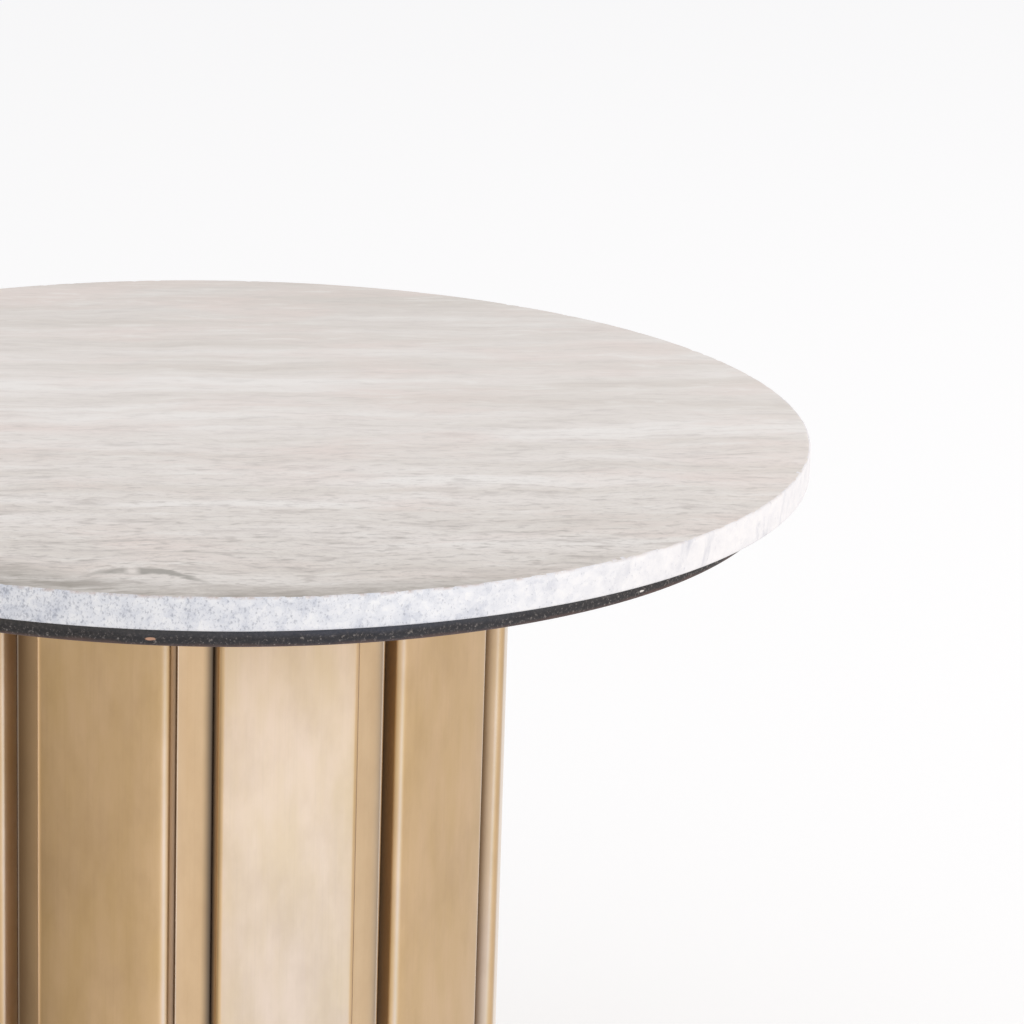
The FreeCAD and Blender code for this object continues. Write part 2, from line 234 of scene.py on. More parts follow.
def close_piece():
    """Turns the faces of the open piece outwards and leaves edit mode."""
    bpy.ops.mesh.select_all(action="SELECT")
    bpy.ops.mesh.normals_make_consistent(inside=False)
    clear_bench()


def start_piece(name):
    """Names the new primitive, puts its place into its mesh and opens it."""
    piece = bpy.context.object
    piece.name = piece.data.name = name
    bpy.ops.object.transform_apply(location=True, rotation=True, scale=True)
    open_piece(piece)
    return piece


def start_disc(name, corners, radius, level, turn=0.0):
    """A new piece that is one level face with its corners on a circle."""
    clear_bench()
    bpy.ops.mesh.primitive_circle_add(
        vertices=corners, radius=radius, fill_type="NGON",
        location=(0.0, 0.0, level), rotation=(0.0, 0.0, turn))
    return start_piece(name)


def draw(name, points):
    """A new piece that is one line through the points, drawn as with a pen, all selected."""
    clear_bench()
    bpy.ops.mesh.primitive_plane_add(size=1.0)
    piece = start_piece(name)
    bpy.ops.mesh.merge(type="CENTER")
    bpy.ops.transform.translate(value=points[0])
    for here, there in zip(points, points[1:]):
        bpy.ops.mesh.extrude_vertices_move(TRANSFORM_OT_translate={"value": there - here})
    bpy.ops.mesh.select_all(action="SELECT")
    return piece


def mirrored(points):
    """The points on the other side of the middle, in the order that carries a line on."""
    return [Vector((-at.x, at.y, at.z)) for at in reversed(points)]


print("Bench ready")

# %% [markdown]
# Brass shows what it mirrors, and an upright face seen from above mirrors the floor before it. A
# photographer sets cards and sheets round such a piece, so that each face mirrors a tone of its
# own. Here one round card lies on the floor, glows with its own light, and only mirrors see it, so
# what the brass shows of it is a painted reflection. Its tone goes round the table with the turn:
# dark at the left, where slats are to go brown, paper white behind, and a cool bright patch at the
# right of the camera for the pale sheen on the front slat. The patch is brighter farther out,
# because the slat's upper end mirrors the floor there, and part of the top besides.

# %% The mirror card
card_reach = 12.0
card_height = 0.001
card_gain = 4.0
patch_turn, patch_half = math.radians(26), math.radians(34)
patch_lift = 1.27
lift_start, lift_full = 0.7, 1.45
card_tones = [
    (-180, "#aaa59f"), (-114, "#a5a099"), (-100, "#928c84"), (-90, "#868078"), (-80, "#7d7467"),
    (-70, "#6c6860"), (-62, "#5f5b55"), (-56, "#5f5c57"), (-50, "#696661"), (-43, "#787570"),
    (-35, "#878582"), (-20, "#91908e"), (-8, "#9a9a98"), (5, "#9ca0ae"), (17, "#9daacb"), (28, "#a0b3dc"),
    (38, "#9ba8be"), (48, "#999faa"), (57, "#969798"), (68, "#92908e"), (80, "#8c8b8a"), (100, "#878686"),
    (180, "#8a8a89")]

card = start_disc("mirror_card", corners=64, radius=card_reach, level=card_height)
clear_bench()
card.visible_camera = card.visible_diffuse = card.visible_shadow = card.visible_transmission = False

card_glow, tree, _, place = new_finish("mirror_card_paper")
from_camera = add(tree, "Mapping", {"Vector": place, "Rotation": (0.0, 0.0, -camera_turn)})[0]
spot = add(tree, "SeparateXYZ", {"Vector": from_camera})
turn = add(tree, "Math", {0: spot["Y"], 1: spot["X"]}, operation="ARCTAN2")[0]
share = add(tree, "MapRange", {"Value": turn, "From Min": -math.pi, "From Max": math.pi})[0]
tone = add(tree, "ValToRGB", {"Fac": share}, stops=[
    (at / 360 + 0.5, colour) for at, colour in card_tones])[0]
beside = add(tree, "Math", {0: turn, 1: -patch_turn}, operation="ADD")[0]
apart = add(tree, "Math", {0: beside}, operation="ABSOLUTE")[0]
most = add(tree, "MapRange", {
    "Value": apart, "From Max": patch_half, "To Min": patch_lift * card_gain, "To Max": card_gain})[0]
away = add(tree, "VectorMath", {0: place}, operation="LENGTH")["Value"]
lifted = add(tree, "MapRange", {
    "Value": away, "From Min": lift_start, "From Max": lift_full, "To Min": card_gain, "To Max": most})[0]
# The card glows with its own light, so what the brass mirrors of it is a painted reflection.
shine = add(tree, "Emission", {"Color": tone, "Strength": lifted})[0]
fill(tree, tree.nodes["Material Output"], {"Surface": shine})
card_glow.cycles.emission_sampling = "NONE"
card.data.materials.append(card_glow)
print("Mirror card with", len(card_tones), "tones")

# %% [markdown]
# An open piece is shaped by raising what is selected, by level cuts, and by operators that work on
# edges or faces. These are picked by where they are, because the order of a mesh's edges is nothing
# to rely on. A modifier can be told by a vertex group which points it is to move.

# %% Helpers to shape a piece
near = 1e-5


def pick(kind, level):
    """Selects the edges of the open piece at one height, or the faces at it that lie on the axis."""
    bpy.ops.mesh.select_mode(type={"edges": "EDGE", "faces": "FACE"}[kind])
    bpy.ops.mesh.select_all(action="DESELECT")
    open_mesh = bmesh.from_edit_mesh(bpy.context.object.data)
    for item in getattr(open_mesh, kind):
        middle = sum((corner.co for corner in item.verts), Vector()) / len(item.verts)
        if abs(middle.z - level) < near and (kind == "edges" or middle.xy.length < near):
            item.select_set(True)
    open_mesh.select_flush_mode()
    bmesh.update_edit_mesh(bpy.context.object.data)


def raise_by(height):
    """Extrudes what is selected in the open piece, straight up."""
    bpy.ops.mesh.extrude_region_move(TRANSFORM_OT_translate={"value": (0.0, 0.0, height)})


def cut_level(level, **options):
    """Cuts the open piece all round at one height."""
    bpy.ops.mesh.select_all(action="SELECT")
    bpy.ops.mesh.bisect(plane_co=(0.0, 0.0, level), plane_no=(0.0, 0.0, 1.0), **options)


def apply_modifier(piece, kind, **settings):
    """Adds a modifier to a piece and applies it."""
    take(piece)
    modifier = piece.modifiers.new(kind.title(), kind)
    for key, value in settings.items():
        setattr(modifier, key, value)
    bpy.ops.object.modifier_apply(modifier=modifier.name)


def weigh(piece, name, weight):
    """A vertex group whose weight is worked out from each vertex's place."""
    group = piece.vertex_groups.new(name=name)
    for vertex in piece.data.vertices:
        group.add([vertex.index], min(max(weight(vertex.co), 0.0), 1.0), "REPLACE")


print("Places within", near, "m count as the same")

# %% [markdown]
# A shaped piece gets its finish and its smooth shading, is copied where the table has more of it,
# and is handed to the frame: it rides on a body, and stands for the solids that it covers.

# %% Helpers to finish a piece
def dress(piece, finish, crease):
    """Gives a piece its finish, and smooth shading but for edges sharper than the angle in degrees."""
    piece.data.materials.append(finish)
    take(piece)
    bpy.ops.object.shade_smooth_by_angle(angle=math.radians(crease))


def copy_piece(piece, name):
    """A copy with its own mesh."""
    take(piece)
    bpy.ops.object.duplicate(linked=False)
    copy = bpy.context.object
    copy.name = copy.data.name = name
    return copy


def hand_over(piece, body, slot, *nodes):
    """The finished piece rides on a body and stands for its solids."""
    clear_bench()
    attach(piece, body)
    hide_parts(*nodes)
    print(piece.name, "has", len(piece.data.polygons), "faces")


# %% [markdown]
# The top is one slab of marble, cut with its layers on edge, so the layers run across it as long
# grey and cream streaks. Rounded noise can't give layers, so all the noise is stretched along one
# direction, and several sizes of it are laid over each other: long bands, streaks as long as a
# finger, dashes as long as a grain of rice, a soft blush, and the grains of the stone. Real layers
# were bent deep in the ground, so a slow noise first sways the place where the others are read.

# %% The layers of the stone
slab_low, slab_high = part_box("stone_top")
vein_turn = math.radians(10.98)
sway_size = 70
sway_reach = (0.0, 0.018, 0.0)


def stone_layers(tree, along):
    """Bands, streaks, dashes, blush and grains, from the place along and across the layers."""
    sway = add(tree, "TexNoise", {"Vector": along, "Scale": per_size(sway_size)[0], "Detail": 3.0})["Color"]
    bent = add(tree, "VectorMath", {0: sway, 1: sway_reach, 2: along}, operation="MULTIPLY_ADD")[0]
    layers = []
    for size, detail, rough in (
            ((220, 20, 80), 2.0, 0.5), ((30, 7.5, 20), 5.0, 0.64), ((10, 3.6, 6), 2.0, 0.6),
            ((90, 34, 60), 3.0, 0.5), ((2.6, 1.9, 2.4), 2.0, 0.6)):
        cut = add(tree, "Mapping", {"Vector": bent, "Scale": per_size(*size)})[0]
        layers.append(add(tree, "TexNoise", {
            "Vector": cut, "Scale": 1.0, "Detail": detail, "Roughness": rough, "Distortion": 0.3})[0])
    return layers


print("Layers lie", round(math.degrees(vein_turn), 1), "degrees from straight across")

# %% [markdown]
# A band of greyer, broken layers meets the front of the rim, and is widest at the left. The real one
# is a thick layer that the round cut runs along. It could be one more noise, but noise doesn't know
# where the rim is, so masks for the rim, the front and the left are multiplied together.

# %% The grey band at the rim
band_width, band_wider = 0.022, 0.018


def rim_band(tree, spot, streaks, dashes):
    """How much of the grey band shows."""
    level = add(tree, "CombineXYZ", {"X": spot["X"], "Y": spot["Y"]})[0]
    reach = add(tree, "VectorMath", {0: level}, operation="LENGTH")["Value"]
    wider = add(tree, "MapRange", {
        "Value": spot["X"], "From Min": -0.03, "From Max": -0.12, "To Max": band_wider})[0]
    widened = add(tree, "Math", {0: reach, 1: wider}, operation="ADD")[0]
    mixed = add(tree, "Math", {0: dashes, 1: 0.7, 2: streaks}, operation="MULTIPLY_ADD")[0]
    shown = add(tree, "MapRange", {
        "Value": mixed, "From Min": 1.00, "From Max": 0.70, "To Min": 0.35, "To Max": 0.95})[0]
    rim = (widened, slab_high.x - band_width, slab_high.x)
    for value, none, full in (rim, (spot["Y"], -0.10, -0.22), (spot["X"], 0.17, 0.06)):
        within = add(tree, "MapRange", {"Value": value, "From Min": none, "From Max": full})[0]
        shown = add(tree, "Math", {0: shown, 1: within}, operation="MULTIPLY")[0]
    return shown


print("The rim is", round(slab_high.x, 3), "m from the middle")

# %% [markdown]
# One dark vein bends round in an arch near the front, broken at its top and fainter at the left.
# Noise can't be told where to put a vein, so a formula draws it: a parabola is added to the place,
# which makes the arch straight, an ellipse round that gives the vein its ends, and the dashes fray it.

# %% The arched vein
vein_peak = Vector((-0.0476, -0.2412))
vein_bend = 19.2
vein_fray = 0.011
lens_shift, lens_scale = (-0.20, -1.11, 0.0), (38.0, 200.0, 1.0)


def arched_vein(tree, spot, dashes):
    """How much of the dark vein shows."""
    beside = add(tree, "Math", {0: spot["X"], 1: -vein_peak.x}, operation="ADD")[0]
    squared = add(tree, "Math", {0: beside, 1: beside}, operation="MULTIPLY")[0]
    arch = add(tree, "Math", {0: squared, 1: vein_bend, 2: spot["Y"]}, operation="MULTIPLY_ADD")[0]
    over = add(tree, "Math", {0: arch, 1: -vein_peak.y}, operation="ADD")[0]
    ragged = add(tree, "Math", {0: dashes, 1: vein_fray, 2: over}, operation="MULTIPLY_ADD")[0]
    shape = add(tree, "CombineXYZ", {"X": beside, "Y": ragged})[0]
    lens = add(tree, "Mapping", {"Vector": shape, "Location": lens_shift, "Scale": lens_scale})[0]
    out = add(tree, "VectorMath", {0: lens}, operation="LENGTH")["Value"]
    apart = add(tree, "Math", {0: beside}, operation="ABSOLUTE")[0]
    whole = add(tree, "MapRange", {"Value": apart, "From Min": 0.001, "From Max": 0.004})[0]
    faint = add(tree, "MapRange", {
        "Value": beside, "From Min": -0.004, "From Max": 0.004, "To Min": 0.7, "To Max": 0.82})[0]
    inside = add(tree, "MapRange", {"Value": out, "From Min": 1.10, "From Max": 0.65, "To Max": faint})[0]
    return add(tree, "Math", {0: inside, 1: whole}, operation="MULTIPLY")[0]


print("The vein's arch peaks at", [round(value, 3) for value in vein_peak])

# %% [markdown]
# The face is honed: rubbed flat with a fine stone and left with a dull silk. Its colour is built as
# a painter would glaze it, from a pale ground on through one thin coat after another, each let
# through by its own layer of the stone. The dark marks crowd towards the front, so their coats are
# multiplied by a mask that grows that way, some of them twice.

# %% Honed vein-cut marble
# Marble is calcite: soft, pale and a little clear, so a honed face is matt with a faint gloss.
def honed_marble():
    made, tree, shader, place = new_finish("marble_vein_cut_honed")
    along = add(tree, "Mapping", {"Vector": place, "Rotation": (0.0, 0.0, vein_turn)})[0]
    spot = add(tree, "SeparateXYZ", {"Vector": along})
    bands, streaks, dashes, blush, grains = stone_layers(tree, along)
    off_middle = add(tree, "Math", {0: spot["Y"], 1: 0.02}, operation="ADD")[0]
    outer = add(tree, "Math", {0: off_middle}, operation="ABSOLUTE")[0]
    front = add(tree, "MapRange", {
        "Value": spot["Y"], "From Min": 0.06, "From Max": -0.22, "To Min": 0.35, "To Max": 1.0})[0]
    colour = add(tree, "ValToRGB", {"Fac": bands}, stops=[
        (0.33, "#e0d9d2"), (0.45, "#e6e0da"), (0.55, "#ebe5e0"), (0.67, "#f2eeea")])[0]
    # For each coat: its layer, where it starts and is full, its most, the times of the mask, its colour.
    for layer, none, full, most, times, tint in (
            (outer, 0.11, 0.26, 0.45, 0, "#d0c9c1"), (blush, 0.47, 0.70, 0.60, 0, "#e8dad3"),
            (streaks, 0.54, 0.72, 0.60, 0, "#f4f1ed"), (streaks, 0.48, 0.30, 0.80, 1, "#c1b9b3"),
            (dashes, 0.53, 0.74, 0.70, 2, "#a69e98"), (grains, 0.52, 0.74, 0.34, 2, "#b5aeaa")):
        coat = add(tree, "MapRange", {"Value": layer, "From Min": none, "From Max": full, "To Max": most})[0]
        for _ in range(times):
            coat = add(tree, "Math", {0: coat, 1: front}, operation="MULTIPLY")[0]
        colour = add(tree, "Mix", {0: coat, 6: colour, 7: linear(tint)}, data_type="RGBA")[2]
    band, vein = rim_band(tree, spot, streaks, dashes), arched_vein(tree, spot, dashes)
    for coat, tint in ((band, "#9a938a"), (vein, "#95918a")):
        colour = add(tree, "Mix", {0: coat, 6: colour, 7: linear(tint)}, data_type="RGBA")[2]
    shine = add(tree, "MapRange", {"Value": streaks, "To Min": 0.42, "To Max": 0.58})[0]
    relief = add(tree, "Bump", {"Height": dashes, "Strength": 0.08, "Distance": 0.0004})[0]
    fill(tree, shader, {
        "Base Color": colour, "Roughness": shine, "IOR": 1.49, "Specular IOR Level": 0.3, "Normal": relief})
    return made


marble_top = honed_marble()
print("Made", marble_top.name)

# %% [markdown]
# The slab's edge was sawn and only lightly rubbed, so it is whiter than the face. It shows the
# stone's crystals as faint flat facets, which a cell pattern gives better than noise. At the left the
# layers lie open and the edge is peppered with grey grains. At the right it is a clean warm white, and
# a few layers cross it as thin upright streaks. A thin brown line of broken stone runs along the top.

# %% Sawn marble edge
broken_line = 0.0013
facet_bend = (0.006, 0.006, 0.006)


# A sawn face is rougher than a honed one, so it scatters the light and has next to no gloss.
def sawn_marble():
    made, tree, shader, place = new_finish("marble_sawn_edge")
    spot = add(tree, "SeparateXYZ", {"Vector": place})
    left = add(tree, "MapRange", {
        "Value": spot["X"], "From Min": 0.16, "From Max": -0.14, "To Min": -0.05, "To Max": 0.13})[0]
    right = add(tree, "MapRange", {"Value": spot["X"], "From Min": 0.02, "From Max": 0.16})[0]
    cloud = add(tree, "TexNoise", {
        "Vector": place, "Scale": per_size(9)[0], "Detail": 5.0, "Roughness": 0.72})
    bent = add(tree, "VectorMath", {0: cloud["Color"], 1: facet_bend, 2: place}, operation="MULTIPLY_ADD")[0]
    facets = add(tree, "TexVoronoi", {"Vector": bent, "Scale": per_size(3.6)[0]})["Color"]
    crystals = add(tree, "Math", {0: facets, 1: 0.24, 2: cloud["Fac"]}, operation="MULTIPLY_ADD")[0]
    colour = add(tree, "ValToRGB", {"Fac": crystals}, stops=[
        (0.42, "#d5d8e1"), (0.55, "#e5e7ed"), (0.68, "#eff0f4"), (0.82, "#f8f8f9")])[0]
    clean = add(tree, "Math", {0: right, 1: 0.65}, operation="MULTIPLY")[0]

    along = add(tree, "Mapping", {"Vector": place, "Rotation": (0.25, 0.0, vein_turn)})[0]
    layer = add(tree, "Mapping", {"Vector": along, "Scale": per_size(60, 9, 28)})[0]
    layers = add(tree, "TexNoise", {
        "Vector": layer, "Scale": 1.0, "Detail": 4.0, "Roughness": 0.62, "Distortion": 0.5})[0]
    cut = add(tree, "MapRange", {"Value": layers, "From Min": 0.45, "From Max": 0.31, "To Max": 0.6})[0]
    upright = add(tree, "Math", {0: cut, 1: right}, operation="MULTIPLY")[0]

    grain = add(tree, "Mapping", {"Vector": place, "Scale": per_size(1.1, 1.1, 1.5)})[0]
    pepper = add(tree, "TexNoise", {"Vector": grain, "Scale": 1.0, "Detail": 2.0, "Roughness": 0.6})[0]
    denser = add(tree, "Math", {0: left, 1: pepper}, operation="ADD")[0]
    massed = add(tree, "Math", {0: cloud["Fac"], 1: -0.35, 2: denser}, operation="MULTIPLY_ADD")[0]
    grains = add(tree, "MapRange", {"Value": massed, "From Min": 0.44, "From Max": 0.64, "To Max": 0.55})[0]

    top = add(tree, "MapRange", {
        "Value": spot["Z"], "From Min": slab_high.z - broken_line, "From Max": slab_high.z})[0]
    most = add(tree, "MapRange", {"Value": right, "To Min": 0.8, "To Max": 0.25})[0]
    broken = add(tree, "MapRange", {
        "Value": cloud["Fac"], "From Min": 0.45, "From Max": 0.60, "To Max": most})[0]
    line = add(tree, "Math", {0: top, 1: broken}, operation="MULTIPLY")[0]

    for coat, tint in ((clean, "#f0eceb"), (upright, "#c3c4cd"), (grains, "#9094a0"), (line, "#b59f95")):
        colour = add(tree, "Mix", {0: coat, 6: colour, 7: linear(tint)}, data_type="RGBA")[2]
    relief = add(tree, "Bump", {"Height": pepper, "Strength": 0.25, "Distance": 0.0003})[0]
    fill(tree, shader, {
        "Base Color": colour, "Roughness": 0.75, "IOR": 1.49, "Specular IOR Level": 0.2, "Normal": relief})
    return made


marble_edge = sawn_marble()
print("Made", marble_edge.name)

# %% [markdown]
# The slab itself is a disc whose two rims were eased with a stone, and small chips have broken
# from them. A cylinder would do for the disc, but a circle that is filled, raised and bevelled
# keeps each ring of points in hand. The chips are a displacement that only the rim's points feel.

# %% The marble slab
slab_radius = slab_high.x
rim_steps = 720
arris = 0.0010
rim_band_width = 0.0016
chip_reach = arris + 0.8 * rim_band_width
chip_size = 0.0045
chip_depth = 0.0010
flat_share = 0.97

slab = start_disc("stone_slab", corners=rim_steps, radius=slab_radius, level=slab_low.z)
raise_by(slab_high.z - slab_low.z)
for level, inward in ((slab_low.z, 1), (slab_high.z, -1)):
    pick("edges", level)
    bpy.ops.mesh.bevel(offset=arris, segments=3, affect="EDGES")
    pick("faces", level)
    bpy.ops.mesh.inset(thickness=rim_band_width)
    cut_level(level + inward * (arris + rim_band_width))
close_piece()

weigh(slab, "rims", lambda at: 1 - math.hypot(slab_radius - at.xy.length, slab_high.z - at.z) / chip_reach)
chips = bpy.data.textures.new("chips", "CLOUDS")
chips.noise_scale = chip_size
chips.noise_depth = 2
chips.use_color_ramp = True
for stop, place in zip(chips.color_ramp.elements, (0.58, 0.80)):
    stop.position = place
chips.color_ramp.elements[0].color = (0.0, 0.0, 0.0, 1.0)
apply_modifier(slab, "DISPLACE", texture=chips, texture_coords="LOCAL", direction="NORMAL",
               mid_level=0.0, strength=-chip_depth, vertex_group="rims")
slab.data.materials.append(marble_top)
dress(slab, marble_edge, crease=50)
for face in slab.data.polygons:
    face.material_index = 0 if abs(face.normal.z) > flat_share else 1
hand_over(slab, "table", "honed_marble", "stone_top")

# %% [markdown]
# Under the marble is a fibreboard disc, sprayed black before the top was glued on. The upper part
# of its edge took the paint well. Lower down the cut fibres drank it and stand through as a grey
# pepper, the rounded rim is rubbed brown, and two knocks have gone through to the raw board. The
# line between smooth and rough could be straight, but a slow noise makes it wander, as it does.

# %% Sprayed black fibreboard
board_low, board_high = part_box("sub_top")
board_radius = board_high.x
board_thickness = board_high.z - board_low.z
wander_reach = 0.004
rough_from = board_low.z + 0.42 * board_thickness + wander_reach / 2
rough_fade = 0.001
worn_from, worn_full = board_low.z + 0.0042, board_low.z + 0.0024


def on_edge(turn_degrees, share):
    """A point on the board's edge, from its turn and its share of the height."""
    turn = math.radians(turn_degrees)
    height = board_low.z + share * board_thickness
    return Vector((board_radius * math.cos(turn), board_radius * math.sin(turn), height))


# Each knock: where it is, how far it reaches, and the colour of the raw board in it.
knocks = [(on_edge(-109.75, 0.27), 0.0026, "#d9a98c"), (on_edge(-59.48, 0.25), 0.0016, "#f1ece6")]
knock_stretch = (1.0, 1.0, 3.4)


# Satin spray paint: a soft gloss where it lies smooth, and matt where the fibres stand through it.
def sprayed_board():
    made, tree, shader, place = new_finish("fibreboard_sprayed_black")
    height = add(tree, "SeparateXYZ", {"Vector": place})["Z"]
    wander = add(tree, "TexNoise", {"Vector": place, "Scale": per_size(18)[0], "Detail": 3.0})[0]
    lifted = add(tree, "Math", {0: wander, 1: wander_reach, 2: height}, operation="MULTIPLY_ADD")[0]
    rough = add(tree, "MapRange", {
        "Value": lifted, "From Min": rough_from + rough_fade, "From Max": rough_from - rough_fade})[0]
    fibre = add(tree, "TexNoise", {
        "Vector": place, "Scale": per_size(1.3)[0], "Detail": 3.0, "Roughness": 0.7})[0]
    proud = add(tree, "MapRange", {"Value": fibre, "From Min": 0.57, "From Max": 0.72, "To Max": 0.85})[0]
    specks = add(tree, "Math", {0: proud, 1: rough}, operation="MULTIPLY")[0]
    worn = add(tree, "MapRange", {
        "Value": lifted, "From Min": worn_from, "From Max": worn_full, "To Max": 0.75})[0]
    coats = [(specks, "#a19a94"), (worn, "#624b42")]
    torn = add(tree, "TexNoise", {"Vector": place, "Scale": per_size(1.6)[0], "Detail": 2.0})[0]
    for knock, reach, raw in knocks:
        offset = add(tree, "VectorMath", {0: place, 1: tuple(knock)}, operation="SUBTRACT")[0]
        flat = add(tree, "VectorMath", {0: offset, 1: knock_stretch}, operation="MULTIPLY")[0]
        away = add(tree, "VectorMath", {0: flat}, operation="LENGTH")["Value"]
        ragged = add(tree, "Math", {0: torn, 1: 0.6 * reach, 2: away}, operation="MULTIPLY_ADD")[0]
        bare = add(tree, "MapRange", {"Value": ragged, "From Min": 1.3 * reach, "From Max": reach})[0]
        coats.append((bare, raw))
    colour = add(tree, "ValToRGB", {"Fac": fibre}, stops=[(0.32, "#211f1e"), (0.66, "#3e3937")])[0]
    for coat, tint in coats:
        colour = add(tree, "Mix", {0: coat, 6: colour, 7: linear(tint)}, data_type="RGBA")[2]
    shine = add(tree, "MapRange", {"Value": rough, "To Min": 0.5, "To Max": 0.75})[0]
    relief = add(tree, "Bump", {"Height": fibre, "Strength": 0.3, "Distance": 0.0003})[0]
    fill(tree, shader, {"Base Color": colour, "Roughness": shine, "Normal": relief})
    return made


black_board = sprayed_board()
print("Made", black_board.name)

# %% [markdown]
# The board is modelled like the slab: a filled circle, raised, with its lower rim rounded by a
# router. The two knocks are dents as well as bare spots, so they also catch the light. A dent needs
# points to move, so level cuts round the edge give it some.

# %% The black board
board_round = 0.0020
knock_depth = 0.0008

board = start_disc("black_board", corners=rim_steps, radius=board_radius, level=board_low.z)
raise_by(board_thickness)
pick("edges", board_low.z)
bpy.ops.mesh.bevel(offset=board_round, segments=4, affect="EDGES")
for share in (0.3, 0.4, 0.5, 0.7):
    cut_level(board_low.z + share * board_thickness)
close_piece()
weigh(board, "knocks", lambda at: max(1 - (at - knock).length / reach for knock, reach, _ in knocks))
apply_modifier(
    board, "DISPLACE", direction="NORMAL", mid_level=0.0, strength=-knock_depth, vertex_group="knocks")
dress(board, black_board, crease=40)
hand_over(board, "table", "black_fibreboard", "sub_top")

# %% [markdown]
# The slats and strips are brass sheet, brushed along its length, darkened to look old, rubbed back
# and then lacquered. The brushing gives fine upright lines. The darkening stays in soft upright
# clouds and a few spots. A dark wash in the grooves, whose amount is written on each point of a
# piece, is partly that old darkening and partly painted shade, for the shade that falls deep in the
# grooves. The lacquer is a thin clear coat, which adds the white sheen. Brushed metal spreads a
# highlight across its lines, so the shader is told which way is across.

# %% Lacquered antique brass
as_it_lies = (0.0, 0.0, 0.0)
cloud_shift = (6.6, 5.2, 1.7)


# Brass is a metal, so its colour is the colour of what it mirrors: gold where the light is white.
def antique_brass(name, gold, rubbed, aged, brush_mm):
    made, tree, shader, place = new_finish(name)
    # Real brush lines are a tenth of a millimetre wide. They are drawn wider here, so that they show.
    marks = []
    for shift, size, detail, rough in (
            (cloud_shift, (24, 24, 40), 5.0, 0.55), (as_it_lies, (5, 5, 14), 3.0, 0.6),
            (as_it_lies, (brush_mm, brush_mm, 70), 3.0, 0.6), (as_it_lies, (12, 12, 46), 4.0, 0.5)):
        laid = add(tree, "Mapping", {"Vector": place, "Location": shift, "Scale": per_size(*size)})[0]
        marks.append(add(tree, "TexNoise", {
            "Vector": laid, "Scale": 1.0, "Detail": detail, "Roughness": rough})[0])
    clouds, flecks, lines, sweeps = marks

    colour = add(tree, "ValToRGB", {"Fac": sweeps}, stops=[(0.32, gold), (0.68, rubbed)])[0]
    mottled = add(tree, "Math", {0: flecks, 1: 0.35, 2: clouds}, operation="MULTIPLY_ADD")[0]
    age = add(tree, "MapRange", {"Value": mottled, "From Min": 0.60, "From Max": 0.92, "To Max": 0.20})[0]
    scratch = add(tree, "MapRange", {"Value": lines, "From Min": 0.50, "From Max": 0.32, "To Max": 0.06})[0]
    # The attribute read here paints the grooves darker towards their foot: partly an old dark wash, partly
    # painted shade.
    wash_and_shade_level = add(tree, "Attribute", attribute_name="wash")["Fac"]
    wash_and_shade_cover = add(tree, "MapRange", {"Value": wash_and_shade_level, "To Max": 0.96}, interpolation_type="SMOOTHSTEP")[0]
    for coat, tint in ((age, aged), (scratch, aged), (wash_and_shade_cover, "#2b1f14")):
        colour = add(tree, "Mix", {0: coat, 6: colour, 7: linear(tint)}, data_type="RGBA")[2]
    shine = add(tree, "MapRange", {"Value": lines, "To Min": 0.28, "To Max": 0.38})[0]
    facing = add(tree, "NewGeometry")["Normal"]
    across = add(tree, "VectorMath", {0: facing, 1: (0.0, 0.0, 1.0)}, operation="CROSS_PRODUCT")[0]
    relief = add(tree, "Bump", {"Height": lines, "Strength": 0.06, "Distance": 0.0001})[0]
    fill(tree, shader, {
        "Base Color": colour, "Metallic": 1.0, "Roughness": shine, "Anisotropic": 0.3, "Tangent": across,
        "Coat Weight": 1.0, "Coat Roughness": 0.28, "Normal": relief})
    return made


slat_brass = antique_brass("brass_brushed_antiqued_lacquered", "#c1a070", "#c8a77d", "#8f6f47", brush_mm=0.9)
strip_brass = antique_brass("brass_strip_brushed_lacquered", "#bf9e74", "#c3a37a", "#8f6f47", brush_mm=0.7)
print("Made", slat_brass.name, "and", strip_brass.name)

# %% [markdown]
# A slat's skin is a sheet folded over the raised front of a stave: a tall face, two rounded folds
# and two short returns into the grooves. A folded face always springs a little, so it falls back by
# about a millimetre towards its sides, and that is what draws the soft change of tone across each
# slat. Bevels on a bent face would pinch it, so the section is drawn point by point, from the middle
# of the face round the fold to the foot of the return, and then raised to its height.

# %% The section of a slat
skin_low, skin_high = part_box("slat_skin_01")
slat_half = skin_high.x
fold_steps = 10
face_steps = 24
sheet = 0.0012
cut_edge = 0.00015


